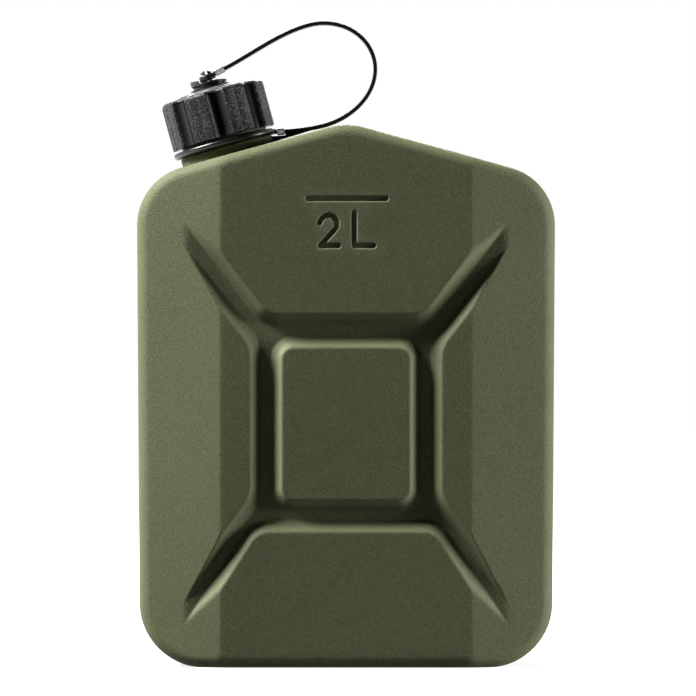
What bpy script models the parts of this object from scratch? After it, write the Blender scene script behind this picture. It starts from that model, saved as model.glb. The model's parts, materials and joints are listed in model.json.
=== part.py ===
"""Two-litre fuel can: blow-moulded body with an X recess, lobed screw cap and captive tether.

Metres, +Z up, front towards -Y. The origin lies in the middle of the base.
"""
import math

import bmesh
import bpy
from mathutils import Matrix, Vector

# Body outline, seen from the front
width_base = 0.1784
width_shoulder = 0.1812
ridge_height = 0.2346
roof_slope = math.radians(15.2)
base_corner_radius = 0.0272
shoulder_radius = 0.0258
ridge_radius = 0.0280

# Body section, seen from above
body_depth = 0.0660
band_width = 0.1076
wing_slope = math.radians(18.4)
edge_fillet = 0.0050
wall = 0.0020

# X recess around the raised pad
recess_depth = 0.0050
recess_half_width = 0.0362
recess_top = 0.1470
recess_bottom = 0.0634
upper_root = 0.1397
lower_root = 0.0721
upper_panel_corner = 0.0359
lower_panel_corner = 0.0405
upper_tip_high = 0.1903
upper_tip_low = 0.1804
lower_tip_high = 0.0286
lower_tip_low = 0.0197
panel_corner_radius = 0.0140
side_corner_radius = 0.0190
top_channel = 0.0045
bottom_channel = 0.0037
side_channel = 0.00385
pad_corner_radius = 0.0100

# Neck, in its own frame: heights run along the axis from the roof
neck_offset = 0.0510
neck_bore_radius = 0.0153
neck_core_radius = 0.0176
neck_foot_radius = 0.0205
neck_foot_height = 0.0039
bead_radius = 0.0187
bead_height = 0.0008
neck_height = 0.0248
neck_root = 0.0010

# Cap
cap_radius = 0.0229
cap_bottom = 0.0081
cap_edge_height = 0.0289
cap_crown_height = 0.0311
cap_edge_radius = 0.0020
cap_bore_radius = 0.0189
cap_ceiling = 0.0274
lobe_count = 8
lobe_phase = math.radians(3.5)
groove_width = 0.0073
groove_depth = 0.0022
lobe_shoulder_radius = 0.0012
seal_thickness = 0.0020
seal_radius = 0.0185

# Tether
ring_radius = 0.0229
ring_bottom = 0.0042
ring_thickness = 0.0027
ring_edge = 0.0009
strap_width = 0.0060
strap_thickness = 0.0017
strap_edge = 0.0004
strap_low_distance = 0.0437
strap_low_height = 0.0021
strap_reach = 0.0721
strap_reach_height = 0.0246
strap_crest_distance = 0.0484
strap_crest_height = 0.0459
strap_root_length = 0.0050
strap_root_height = 0.0010
clip_wall = 0.0003
eyelet_clip_length = 0.0043
ring_clip_length = 0.0031
eyelet_radius = 0.0036
eyelet_thickness = 0.0026
eyelet_tilt = math.radians(6.0)
eyelet_strap_rise = math.radians(12.3)
ring_strap_dip = math.radians(11.5)
ring_tab_height = 0.0048
collar_radius = 0.0079
collar_waist = 0.0072
collar_foot = 0.0087
collar_rim = 0.0016
collar_rise = 0.0031
collar_lean = math.radians(9.0)
collar_seat_width = 0.0080
collar_notch = 0.0006
stud_radius = 0.0019
stud_barb_radius = 0.0028
stud_barb_height = 0.0012
stud_slot = 0.0010
stud_root = 0.0289

# Fits
seat_gap = 0.0003
swivel_gap = 0.0004
overcut = 0.0040

# Facets
turn_steps = 64
small_steps = 32
arc_step = math.radians(10.0)

# Worked out from the sizes above
band_half = band_width / 2
half_depth = body_depth / 2
tip_x = band_half + recess_depth / math.tan(wing_slope)
pad_top = recess_top - top_channel
pad_bottom = recess_bottom + bottom_channel
half_pad = recess_half_width - side_channel
neck_foot = Vector((-neck_offset, 0, ridge_height - neck_offset * math.tan(roof_slope)))
neck_matrix = Matrix.Translation(neck_foot) @ Matrix.Rotation(-roof_slope, 4, "Y")
stud_bore_radius = stud_radius + swivel_gap


def clear_scene():
    for old in list(bpy.data.objects):
        bpy.data.objects.remove(old)


def new_collection(name):
    collection = bpy.data.collections.new(name)
    bpy.context.scene.collection.children.link(collection)
    return collection


def new_material(name, colour, roughness, metallic=0.0):
    material = bpy.data.materials.new(name)
    material.use_nodes = True
    shader = material.node_tree.nodes["Principled BSDF"]
    shader.inputs["Base Color"].default_value = (*colour, 1)
    shader.inputs["Roughness"].default_value = roughness
    shader.inputs["Metallic"].default_value = metallic
    material.diffuse_color = (*colour, 1)
    return material


def put_in(thing, collection):
    """Moves the object to a collection; cutters are drawn as wire and never rendered."""
    for old in list(thing.users_collection):
        old.objects.unlink(thing)
    collection.objects.link(thing)
    thing.hide_render = collection is cutters
    thing.display_type = "WIRE" if collection is cutters else "TEXTURED"
    return thing


def add_object(name, data, collection):
    return put_in(bpy.data.objects.new(name, data), collection)


def bake(thing):
    """Replaces the object's mesh with its evaluated one, welded, and drops the modifiers."""
    bpy.context.view_layer.update()
    graph = bpy.context.evaluated_depsgraph_get()
    mesh = bpy.data.meshes.new_from_object(thing.evaluated_get(graph))
    shape = bmesh.new()
    shape.from_mesh(mesh)
    bmesh.ops.remove_doubles(shape, verts=shape.verts, dist=0.000002)
    bmesh.ops.recalc_face_normals(shape, faces=shape.faces)
    shape.to_mesh(mesh)
    shape.free()
    if thing.type == "CURVE":
        name, collection, matrix = thing.name, thing.users_collection[0], thing.matrix_world.copy()
        bpy.data.objects.remove(thing)
        thing = add_object(name, mesh, collection)
        thing.matrix_world = matrix
        return thing
    thing.modifiers.clear()
    thing.data = mesh
    return thing


def boolean(target, tool, operation):
    cut = target.modifiers.new(operation.title(), "BOOLEAN")
    cut.operation = operation
    cut.object = tool
    cut.solver = "EXACT"
    return cut


def bevel(thing, size, segments, angle):
    rounding = thing.modifiers.new("Bevel", "BEVEL")
    rounding.width = size
    rounding.segments = segments
    rounding.limit_method = "ANGLE"
    rounding.angle_limit = angle
    rounding.use_clamp_overlap = False
    return rounding


def finish(thing, material, sharp=math.radians(32)):
    """Gives the piece its material and smooth shading with sharp edges kept."""
    thing.data.materials.clear()
    thing.data.materials.append(material)
    thing.data.shade_smooth()
    thing.data.set_sharp_from_angle(angle=sharp)
    return thing


def rounded_outline(corners):
    """Points along a closed outline whose corners (x, y, radius) are rounded with arcs."""
    points = []
    count = len(corners)
    for i, (x, y, radius) in enumerate(corners):
        here = Vector((x, y))
        back = (Vector(corners[i - 1][:2]) - here).normalized()
        ahead = (Vector(corners[(i + 1) % count][:2]) - here).normalized()
        turn = math.pi - back.angle(ahead)
        if radius <= 0:
            points.append(here)
            continue
        start = here + back * (radius * math.tan(turn / 2))
        centre = here + (back + ahead).normalized() * (radius / math.cos(turn / 2))
        sweep = math.copysign(turn, back.cross(ahead) * -1)
        steps = max(1, math.ceil(turn / arc_step))
        arm = start - centre
        for k in range(steps + 1):
            points.append(centre + Matrix.Rotation(sweep * k / steps, 2) @ arm)
    return points


def flat_curve(name, loops, collection, thickness, chamfer=0.0, grow=0.0):
    """A filled flat outline, thickened; a chamfer widens it at 45 degrees from its two flat faces."""
    data = bpy.data.curves.new(name, "CURVE")
    data.dimensions = "2D"
    data.fill_mode = "BOTH"
    data.extrude = thickness / 2
    data.bevel_depth = chamfer
    data.bevel_resolution = 0
    data.offset = grow
    for loop in loops:
        spline = data.splines.new("POLY")
        spline.points.add(len(loop) - 1)
        for point, place in zip(spline.points, loop):
            point.co = (place[0], place[1], 0, 1)
        spline.use_cyclic_u = True
    return add_object(name, data, collection)


def turned(name, profile, collection, steps):
    """A solid of revolution about Z; the profile (radius, height) runs down its outer side."""
    data = bpy.data.meshes.new(name)
    shape = bmesh.new()
    verts = [shape.verts.new((radius, 0, height)) for radius, height in profile]
    for first, second in zip(verts, verts[1:]):
        shape.edges.new((first, second))
    shape.to_mesh(data)
    shape.free()
    thing = add_object(name, data, collection)
    screw = thing.modifiers.new("Screw", "SCREW")
    screw.steps = steps
    screw.render_steps = steps
    screw.use_merge_vertices = True
    screw.merge_threshold = 0.000005
    return thing


def box(name, size, place, collection):
    """A box of that size, centred on a place; as a cutter it is shown as wire."""
    bpy.ops.mesh.primitive_cube_add(size=1)
    thing = bpy.context.active_object
    thing.name = name
    thing.data.transform(place @ Matrix.Diagonal((*size, 1)))
    return put_in(thing, collection)


def closed_ring_profile(points):
    """The same profile with its first point again at the end, for a ring."""
    return points + points[:1]


def arc_profile(centre, radius, start, end, steps):
    """Points (radius, height) along an arc, angles measured from outwards to upwards."""
    return [
        (centre[0] + radius * math.cos(start + (end - start) * k / steps),
         centre[1] + radius * math.sin(start + (end - start) * k / steps))
        for k in range(steps + 1)
    ]


# Body


def can_form(name, inset):
    """The can's plain convex form, drawn in by inset, without recess or neck."""
    half_base = width_base / 2 - inset
    half_shoulder = width_shoulder / 2 - inset
    apex = ridge_height - inset / math.cos(roof_slope)
    eaves = apex - half_shoulder * math.tan(roof_slope)
    outline = rounded_outline([
        (-half_base, inset, base_corner_radius - inset),
        (half_base, inset, base_corner_radius - inset),
        (half_shoulder, eaves, shoulder_radius - inset),
        (0, apex, ridge_radius - inset),
        (-half_shoulder, eaves, shoulder_radius - inset),
    ])
    depth = half_depth - inset
    form = flat_curve(name, [outline], cutters, 2 * depth)
    form.matrix_world = Matrix.Rotation(math.radians(90), 4, "X")
    form = bake(form)
    form.data.transform(form.matrix_world)
    form.matrix_world = Matrix.Identity(4)
    crease = band_half - inset * math.tan(wing_slope / 2)
    shape = bmesh.new()
    shape.from_mesh(form.data)
    bmesh.ops.dissolve_limit(
        shape, angle_limit=math.radians(0.2), verts=shape.verts, edges=shape.edges,
    )
    for side in (-1, 1):
        for face in (-1, 1):
            geometry = shape.verts[:] + shape.edges[:] + shape.faces[:]
            cut = bmesh.ops.bisect_plane(
                shape,
                geom=geometry,
                plane_co=(side * crease, face * depth, 0),
                plane_no=(side * math.sin(wing_slope), face * math.cos(wing_slope), 0),
                clear_outer=True,
            )
            edges = [e for e in cut["geom_cut"] if isinstance(e, bmesh.types.BMEdge)]
            bmesh.ops.edgeloop_fill(shape, edges=edges)
    bmesh.ops.recalc_face_normals(shape, faces=shape.faces)
    shape.to_mesh(form.data)
    shape.free()
    bevel(form, edge_fillet - inset, 4, math.radians(40))
    return bake(form)


def recess_cutter(name, face, grow):
    """The X recess as a cutter with walls at 45 degrees; grow thickens the wall left beside it."""
    upper_slope = (upper_tip_high - recess_top) / (tip_x - upper_panel_corner)
    upper_inner = (upper_tip_low - upper_root) / (tip_x - recess_half_width)
    lower_slope = (lower_tip_low - recess_bottom) / (tip_x - lower_panel_corner)
    lower_inner = (lower_tip_high - lower_root) / (tip_x - recess_half_width)
    beyond = tip_x + 3 * overcut
    run = beyond - tip_x
    right = [
        (upper_panel_corner, recess_top, panel_corner_radius),
        (beyond, upper_tip_high + upper_slope * run, 0),
        (beyond, upper_tip_low + upper_inner * run, 0),
        (recess_half_width, upper_root, side_corner_radius),
        (recess_half_width, lower_root, side_corner_radius),
        (beyond, lower_tip_high + lower_inner * run, 0),
        (beyond, lower_tip_low + lower_slope * run, 0),
        (lower_panel_corner, recess_bottom, panel_corner_radius),
    ]
    left = [(-x, z, radius) for x, z, radius in reversed(right)]
    floor = rounded_outline(right + left)
    pad = rounded_outline([
        (-half_pad, pad_bottom, pad_corner_radius),
        (half_pad, pad_bottom, pad_corner_radius),
        (half_pad, pad_top, pad_corner_radius),
        (-half_pad, pad_top, pad_corner_radius),
    ])
    straight = 2 * overcut
    cutter = flat_curve(
        name, [floor, pad], cutters, straight, chamfer=recess_depth,
        grow=grow * math.tan(math.radians(22.5)),
    )
    floor_depth = half_depth - recess_depth - grow
    middle = face * (floor_depth + recess_depth + straight / 2)
    cutter.matrix_world = Matrix.Translation((0, middle, 0)) @ Matrix.Rotation(math.radians(90), 4, "X")
    return bake(cutter)


def make_can_body():
    body = put_in(can_form("can_body", 0), parts)
    cavity = can_form("cavity", wall)
    for label, face in (("front", -1), ("back", 1)):
        boolean(body, recess_cutter(f"recess_{label}", face, 0), "DIFFERENCE")
        boolean(cavity, recess_cutter(f"recess_{label}_inner", face, wall), "DIFFERENCE")
    neck = turned("neck", [
        (0, neck_height),
        (neck_core_radius, neck_height),
        (neck_core_radius, ring_bottom + ring_thickness + seat_gap + 2 * bead_height),
        (bead_radius, ring_bottom + ring_thickness + seat_gap + bead_height),
        (bead_radius, ring_bottom + ring_thickness + seat_gap),
        (neck_core_radius, ring_bottom + ring_thickness + seat_gap),
        (neck_core_radius, neck_foot_height),
        (neck_foot_radius, neck_foot_height),
        (neck_foot_radius, -neck_root),
        (0, -neck_root),
    ], cutters, turn_steps)
    neck.matrix_world = neck_matrix
    boolean(body, bake(neck), "UNION")
    boolean(body, cavity, "DIFFERENCE")
    bore = turned("neck_bore", [
        (0, neck_height + overcut),
        (neck_bore_radius, neck_height + overcut),
        (neck_bore_radius, -wall - overcut),
        (0, -wall - overcut),
    ], cutters, turn_steps)
    bore.matrix_world = neck_matrix
    boolean(body, bore, "DIFFERENCE")
    return finish(bake(body), olive)


# Cap


def crown(radius):
    """Height of the cap's domed top at a distance from its axis."""
    edge = cap_radius - cap_edge_radius
    return cap_crown_height - (cap_crown_height - cap_edge_height) * (radius / edge) ** 2


def lobed_outline():
    """The cap's outline: round lobes parted by hollow grooves with rounded shoulders."""
    half = math.asin(groove_width / 2 / cap_radius)
    hollow = (groove_width ** 2 / 4 + groove_depth ** 2) / (2 * groove_depth)
    points = []
    for i in range(lobe_count):
        middle = lobe_phase - math.radians(90) + i * math.tau / lobe_count
        ahead = middle + math.tau / lobe_count
        centre = Vector((math.cos(middle), math.sin(middle))) * (cap_radius - groove_depth + hollow)
        reach = math.asin(groove_width / 2 / hollow) - lobe_shoulder_radius / hollow
        for k in range(7):
            angle = middle + math.pi + reach * (1 - k / 3)
            points.append(centre + Vector((math.cos(angle), math.sin(angle))) * hollow)
        shoulder = half + lobe_shoulder_radius / cap_radius
        for k in range(7):
            angle = middle + shoulder + (ahead - middle - 2 * shoulder) * k / 6
            points.append(Vector((math.cos(angle), math.sin(angle))) * cap_radius)
    return points


def make_cap_shell():
    edge = cap_radius - cap_edge_radius
    dome = [(edge * k / 5, crown(edge * k / 5)) for k in range(6)]
    corner_centre = (edge, cap_edge_height - cap_edge_radius)
    corner = arc_profile(corner_centre, cap_edge_radius, math.radians(75), 0, 4)
    cap = turned("cap_shell", dome + corner + [
        (cap_radius, cap_bottom),
        (cap_bore_radius, cap_bottom),
        (cap_bore_radius, cap_ceiling),
        (0, cap_ceiling),
    ], parts, turn_steps)
    prism = flat_curve("lobes", [lobed_outline()], cutters, 2 * cap_crown_height)
    prism.location.z = (cap_bottom + cap_crown_height) / 2
    boolean(cap, bake(prism), "INTERSECT")
    socket = turned("stud_socket", [
        (0, cap_crown_height + overcut),
        (stud_radius + seat_gap, cap_crown_height + overcut),
        (stud_radius + seat_gap, stud_root - seat_gap),
        (0, stud_root - seat_gap),
    ], cutters, small_steps)
    boolean(cap, socket, "DIFFERENCE")
    return finish(bake(cap), black)


def make_cap_seal():
    top = cap_ceiling - seat_gap
    seal = turned("cap_seal", [
        (0, top), (seal_radius, top), (seal_radius, top - seal_thickness), (0, top - seal_thickness),
    ], parts, turn_steps)
    return finish(bake(seal), seal_grey)


def make_cap_stud():
    """A split snap stud: a shaft with a barbed head."""
    barb = eyelet_height + eyelet_thickness / 2 + seat_gap + stud_barb_radius * math.tan(eyelet_tilt)
    stud = turned("cap_stud", [
        (0, barb + stud_barb_height),
        (stud_radius * 0.8, barb + stud_barb_height),
        (stud_barb_radius, barb + stud_barb_height * 0.3),
        (stud_barb_radius, barb),
        (stud_radius, barb),
        (stud_radius, stud_root),
        (0, stud_root),
    ], parts, small_steps)
    depth = barb + stud_barb_height - collar_seat_height
    size = (stud_slot, 4 * stud_barb_radius, 2 * depth)
    slot = box("stud_slot", size, Matrix.Translation((0, 0, barb + stud_barb_height)), cutters)
    boolean(stud, slot, "DIFFERENCE")
    return finish(bake(stud), black)


# Tether


collar_bottom = crown(collar_foot) + seat_gap
collar_height = collar_bottom + collar_rise
collar_seat_height = collar_height - collar_notch
eyelet_bottom = collar_seat_height + eyelet_radius * math.tan(eyelet_tilt) + seat_gap
eyelet_height = eyelet_bottom + eyelet_thickness / 2


def make_swivel_collar():
    """A flared washer on the crown; its rim leans over while its foot stays on the cap."""
    foot = collar_bottom
    rim_low = collar_height - collar_rim
    collar = turned("swivel_collar", closed_ring_profile([
        (stud_bore_radius, collar_height),
        (collar_radius, collar_height),
        (collar_radius, rim_low),
        (collar_waist, rim_low - (rim_low - foot) * 0.35),
        (collar_waist, rim_low - (rim_low - foot) * 0.65),
        (collar_foot, foot + seat_gap),
        (collar_foot, foot),
        (stud_bore_radius, crown(stud_bore_radius) + seat_gap),
    ]), parts, turn_steps)
    collar = bake(collar)
    for vertex in collar.data.vertices:
        raised = max(0.0, vertex.co.z - foot - 2 * seat_gap) / (collar_height - foot)
        vertex.co.z -= vertex.co.x * math.tan(collar_lean) * min(1.0, raised * 1.4)
    size = (collar_seat_width, 4 * collar_radius, 4 * collar_rim)
    place = Matrix.Translation((0, 0, collar_seat_height + 2 * collar_rim))
    seat = box("collar_seat", size, place, cutters)
    boolean(collar, seat, "DIFFERENCE")
    return finish(bake(collar), black)


def tilted(distance, height, rise):
    """A place on the neck's middle plane with its X axis turned up by rise."""
    return Matrix.Translation((distance, 0, height)) @ Matrix.Rotation(-rise, 4, "Y")


def tab(name, start, end, thickness, line):
    """A flat tab along a line, as wide as the strap."""
    place = line @ Matrix.Translation(((start + end) / 2, 0, 0))
    return box(name, (end - start, strap_width, thickness), place, cutters)


eyelet_line = tilted(0, eyelet_height, eyelet_strap_rise)
ring_line = tilted(ring_radius, ring_tab_height, -ring_strap_dip)
eyelet_clip_start = eyelet_radius + seat_gap
eyelet_clip_end = eyelet_clip_start + eyelet_clip_length
ring_clip_start = seat_gap
ring_clip_end = ring_clip_start + ring_clip_length


def make_eyelet():
    """A thick ring around the stud with a tab that reaches into its clip."""
    half = eyelet_thickness / 2
    edge = half * 0.3
    eyelet = turned("tether_eyelet", [
        (0, half),
        (eyelet_radius - edge, half),
        (eyelet_radius, half - edge),
        (eyelet_radius, edge - half),
        (eyelet_radius - edge, -half),
        (0, -half),
    ], parts, small_steps)
    eyelet = bake(eyelet)
    eyelet.data.transform(tilted(0, eyelet_height, eyelet_tilt))
    tab_end = (eyelet_clip_start + eyelet_clip_end) / 2 - seat_gap
    reach = tab("eyelet_tab", stud_bore_radius, tab_end, strap_thickness, eyelet_line)
    boolean(eyelet, reach, "UNION")
    hole = turned("eyelet_hole", [
        (0, eyelet_height + overcut),
        (stud_bore_radius, eyelet_height + overcut),
        (stud_bore_radius, eyelet_height - overcut),
        (0, eyelet_height - overcut),
    ], cutters, small_steps)
    boolean(eyelet, hole, "DIFFERENCE")
    return finish(bake(eyelet), black)


def make_clip(name, length, place):
    """A flat sleeve crimped around the strap's end and the tab."""
    room_width = strap_width + 2 * seat_gap
    room_height = strap_thickness + 2 * seat_gap

    def rectangle(width, height, radius):
        return rounded_outline([
            (-width / 2, -height / 2, radius), (width / 2, -height / 2, radius),
            (width / 2, height / 2, radius), (-width / 2, height / 2, radius),
        ])

    outer = rectangle(room_width + 2 * clip_wall, room_height + 2 * clip_wall, 0.0008)
    inner = rectangle(room_width, room_height, 0.0005)
    clip = flat_curve(name, [outer, inner], parts, length)
    clip = bake(clip)
    along = Matrix(((0, 0, 1, 0), (1, 0, 0, 0), (0, 1, 0, 0), (0, 0, 0, 1)))
    clip.data.transform(place @ Matrix.Translation((length / 2, 0, 0)) @ along)
    return finish(clip, steel)


def strap_route():
    """Places and directions along the strap's middle line, from the ring's clip to the eyelet's."""
    def from_line(line, distance, sense):
        place = line @ Vector((distance, 0, 0))
        ahead = line.to_3x3() @ Vector((sense, 0, 0))
        return Vector((place.x, place.z)), Vector((ahead.x, ahead.z))

    ring_inside = (ring_clip_start + ring_clip_end + seat_gap) / 2
    eyelet_inside = (eyelet_clip_start + eyelet_clip_end + seat_gap) / 2
    return [
        from_line(ring_line, ring_inside, 1),
        from_line(ring_line, ring_clip_end, 1),
        (Vector((strap_low_distance, strap_low_height)), Vector((1, 0))),
        (Vector((strap_reach, strap_reach_height)), Vector((0, 1))),
        (Vector((strap_crest_distance, strap_crest_height)), Vector((-1, 0))),
        from_line(eyelet_line, eyelet_clip_end, -1),
        from_line(eyelet_line, eyelet_inside, -1),
    ]


def arc_handle(chord, ahead, turn):
    """Length of the handle with which a curve through that turn runs as round as an arc."""
    if turn < math.radians(0.5):
        return chord.dot(ahead) / 3
    return chord.dot(ahead) * 4 / 3 * math.tan(turn / 4) / math.sin(turn)


def strap_root():
    """The strap's thick end, which runs under the clip just above the roof."""
    under_clip = strap_thickness / 2 + 2 * seat_gap + clip_wall
    beyond_clip = ring_clip_end + seat_gap
    top_start = ring_line @ Vector((beyond_clip - strap_root_length, 0, -under_clip))
    top_end = ring_line @ Vector((beyond_clip, 0, -under_clip))
    inside_strap = ring_line @ Vector((beyond_clip, 0, 0))
    strap_bottom = strap_low_height - strap_thickness / 2
    outline = [
        Vector((top_start.x, top_start.z)),
        Vector((top_end.x, top_end.z)),
        Vector((inside_strap.x, inside_strap.z)),
        Vector((strap_low_distance, strap_low_height)),
        Vector((strap_low_distance, strap_bottom + strap_edge)),
        Vector((top_start.x, strap_root_height)),
    ]
    root = flat_curve("strap_root", [outline], cutters, strap_width - 2 * strap_edge)
    root.rotation_euler.x = math.radians(90)
    return root


def make_strap():
    """A flat band bent along its route: a curve widened, thickened and rounded."""
    data = bpy.data.curves.new("tether_strap", "CURVE")
    data.dimensions = "2D"
    data.fill_mode = "NONE"
    data.resolution_u = 9
    data.extrude = strap_width / 2
    spline = data.splines.new("BEZIER")
    route = strap_route()
    spline.bezier_points.add(len(route) - 1)
    for point, (place, ahead) in zip(spline.bezier_points, route):
        point.handle_left_type = "FREE"
        point.handle_right_type = "FREE"
        point.co = (*place, 0)
        point.handle_left = point.co
        point.handle_right = point.co
    for i, (place, ahead) in enumerate(route[:-1]):
        next_place, next_ahead = route[i + 1]
        chord = next_place - place
        turn = ahead.angle(next_ahead)
        leaving = place + ahead * arc_handle(chord, ahead, turn)
        arriving = next_place - next_ahead * arc_handle(chord, next_ahead, turn)
        spline.bezier_points[i].handle_right = (*leaving, 0)
        spline.bezier_points[i + 1].handle_left = (*arriving, 0)
    strap = add_object("tether_strap", data, parts)
    strap.rotation_euler.x = math.radians(90)
    strap = bake(strap)
    strap.data.transform(strap.matrix_world)
    strap.matrix_world = Matrix.Identity(4)
    thicken = strap.modifiers.new("Solidify", "SOLIDIFY")
    thicken.thickness = strap_thickness
    thicken.offset = 0
    thicken.use_even_offset = True
    bevel(strap, strap_edge, 2, math.radians(50))
    boolean(strap, strap_root(), "UNION")
    return finish(bake(strap), black)


def make_ring():
    """A ring loose on the neck, with a tab that dips towards the roof into its clip."""
    top = ring_bottom + ring_thickness
    bore = neck_core_radius + swivel_gap
    corner_low = (ring_radius - ring_edge, ring_bottom + ring_edge)
    corner_high = (ring_radius - ring_edge, top - ring_edge)
    quarter = math.radians(90)
    ring = turned("tether_ring", closed_ring_profile(
        [(bore, top)]
        + arc_profile(corner_high, ring_edge, quarter, 0, 3)
        + arc_profile(corner_low, ring_edge, 0, -quarter, 3)
        + [(bore, ring_bottom)]
    ), parts, turn_steps)
    tab_start = 2 * ring_edge - (ring_radius - bore)
    tab_end = (ring_clip_start + ring_clip_end) / 2 - seat_gap
    reach = tab("ring_tab", tab_start, tab_end, strap_thickness, ring_line)
    boolean(ring, reach, "UNION")
    return finish(bake(ring), black)


clear_scene()
parts = new_collection("fuel_can")
cutters = new_collection("cutters")
olive = new_material("olive_moulding", (0.095, 0.105, 0.058), 0.55)
black = new_material("black_moulding", (0.012, 0.012, 0.013), 0.42)
seal_grey = new_material("seal_rubber", (0.05, 0.05, 0.05), 0.8)
steel = new_material("clip_steel", (0.62, 0.62, 0.60), 0.28, 1.0)

neck_axis = add_object("neck_axis", None, parts)
neck_axis.matrix_world = neck_matrix
make_can_body()
eyelet_clip_place = eyelet_line @ Matrix.Translation((eyelet_clip_start, 0, 0))
ring_clip_place = ring_line @ Matrix.Translation((ring_clip_start, 0, 0))
on_the_neck = [
    make_cap_shell(),
    make_cap_seal(),
    make_cap_stud(),
    make_swivel_collar(),
    make_eyelet(),
    make_clip("eyelet_clip", eyelet_clip_length, eyelet_clip_place),
    make_strap(),
    make_clip("ring_clip", ring_clip_length, ring_clip_place),
    make_ring(),
]
for piece in on_the_neck:
    piece.parent = neck_axis
bpy.context.view_layer.update()
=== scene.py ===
"""Looks of the two-litre fuel can: moulded body, lobed cap, looped strap and crimped clips.

Metres, +Z up, front towards -Y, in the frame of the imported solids.
"""
import json
import math

import bmesh
import bpy
import numpy as np
from mathutils import Matrix, Vector
from mathutils.geometry import delaunay_2d_cdt, interpolate_bezier


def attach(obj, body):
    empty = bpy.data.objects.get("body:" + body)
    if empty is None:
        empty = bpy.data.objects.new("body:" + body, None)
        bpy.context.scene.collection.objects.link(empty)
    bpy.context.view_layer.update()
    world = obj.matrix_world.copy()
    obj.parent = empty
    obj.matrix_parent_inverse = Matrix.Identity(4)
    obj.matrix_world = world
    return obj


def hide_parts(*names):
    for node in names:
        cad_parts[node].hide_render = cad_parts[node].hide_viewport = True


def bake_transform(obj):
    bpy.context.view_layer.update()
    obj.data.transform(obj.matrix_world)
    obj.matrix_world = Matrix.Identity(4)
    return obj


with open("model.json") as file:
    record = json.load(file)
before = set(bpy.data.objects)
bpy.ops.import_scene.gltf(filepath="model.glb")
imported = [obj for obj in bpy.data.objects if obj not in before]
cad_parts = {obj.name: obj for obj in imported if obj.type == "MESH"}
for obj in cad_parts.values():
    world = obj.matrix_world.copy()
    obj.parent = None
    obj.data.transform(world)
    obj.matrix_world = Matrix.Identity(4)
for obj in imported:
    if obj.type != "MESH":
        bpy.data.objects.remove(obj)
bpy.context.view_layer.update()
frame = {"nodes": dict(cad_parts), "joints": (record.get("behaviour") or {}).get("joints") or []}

# Body outline and section, as in the solids
width_base = 0.1784
width_shoulder = 0.1812
ridge_height = 0.2346
base_corner_radius = 0.0272
shoulder_radius = 0.0258
ridge_radius = 0.0280
body_depth = 0.0660
band_width = 0.1076
wing_slope = math.radians(18.4)
edge_fillet = 0.0050
wall = 0.0020

# X recess round the raised pad, as in the solids
recess_depth = 0.0050
recess_half_width = 0.0362
recess_top = 0.1470
recess_bottom = 0.0634
upper_root = 0.1397
lower_root = 0.0721
upper_panel_corner = 0.0359
lower_panel_corner = 0.0405
upper_tip_high = 0.1903
upper_tip_low = 0.1804
lower_tip_high = 0.0286
lower_tip_low = 0.0197
panel_corner_radius = 0.0140
side_corner_radius = 0.0190
pad_width = 0.0647
pad_top = 0.1425
pad_bottom = 0.0671
pad_corner_radius = 0.0100

# Neck, cap and tether, as in the solids, with heights along the neck's axis
neck_bore_radius = 0.0153
neck_core_radius = 0.0176
neck_foot_radius = 0.0205
neck_foot_height = 0.0039
bead_radius = 0.0187
bead_low = 0.0072
bead_height = 0.0008
neck_height = 0.0248
cap_radius = 0.0229
cap_bottom = 0.0081
cap_edge_height = 0.0289
cap_crown_height = 0.0311
cap_edge_radius = 0.0020
cap_bore_radius = 0.0189
cap_ceiling = 0.0274
lobe_count = 8
lobe_phase = math.radians(3.5)
groove_width = 0.0073
groove_depth = 0.0022
socket_radius = 0.0022
socket_floor = 0.0286
strap_width = 0.0060
strap_thickness = 0.0017
strap_edge = 0.0005
strap_low = (0.0437, 0.0021)
strap_reach = (0.0721, 0.0246)
strap_crest = (0.0484, 0.0459)
strap_root_length = 0.0050
strap_root_height = 0.0010
eyelet_height = 0.0354972
eyelet_strap_rise = math.radians(12.3)
eyelet_clip_start = 0.0039
eyelet_clip_length = 0.0043
ring_radius = 0.0229
ring_tab_height = 0.0048
ring_strap_dip = math.radians(11.5)
ring_clip_start = 0.0003
ring_clip_length = 0.0031
clip_gap = 0.0003
clip_wall = 0.0003

# Fine forms that only the looks have
crease_round = 0.0006
foot_round = 0.0005
crest_round = 0.0007
seam_height = 0.00015
seam_half_width = 0.00045
pinch_depth = 0.0005
pinch_half_width = 0.0014
pinch_ridge = 0.0003
thread_pitch = 0.0040
thread_turns = 2.4
thread_start = 0.0113
thread_crest = 0.0186
thread_half_root = 0.0011
thread_half_crest = 0.0004
shoulder_round = 0.0018
small_round = 0.0004
neck_flare = 0.0006
root_reach = 0.0012
root_gap = 0.00015
fitting_edge = 0.0002
soft_edge = 0.0003
collar_edge = 0.0004
clip_edge = 0.00012

# Painted highlight: paler colour just below the crests of the recess and along the rims of the mark
highlight_drop = 0.0011
highlight_reach = 0.0015
outer_highlight = 0.25
level_highlight = 0.5
rim_reach = 0.00035
highlight_batches = 40

# Capacity mark pressed into the front below the roof
mark_half_width = 0.00115
mark_sink = 0.0012
mark_wall = 0.00035
bar_ends = ((-0.0165, 0.2015), (0.0171, 0.2015))
two_arc_centre = (-0.0076, 0.1907)
two_arc_radius = 0.0037
two_arc_start = math.radians(172)
two_arc_end = math.radians(-32)
two_base_left = (-0.0112, 0.1813)
two_base_right = (-0.0033, 0.1813)
ell_points = ((0.0035, 0.1953), (0.0035, 0.1813), (0.0118, 0.1813))

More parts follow.
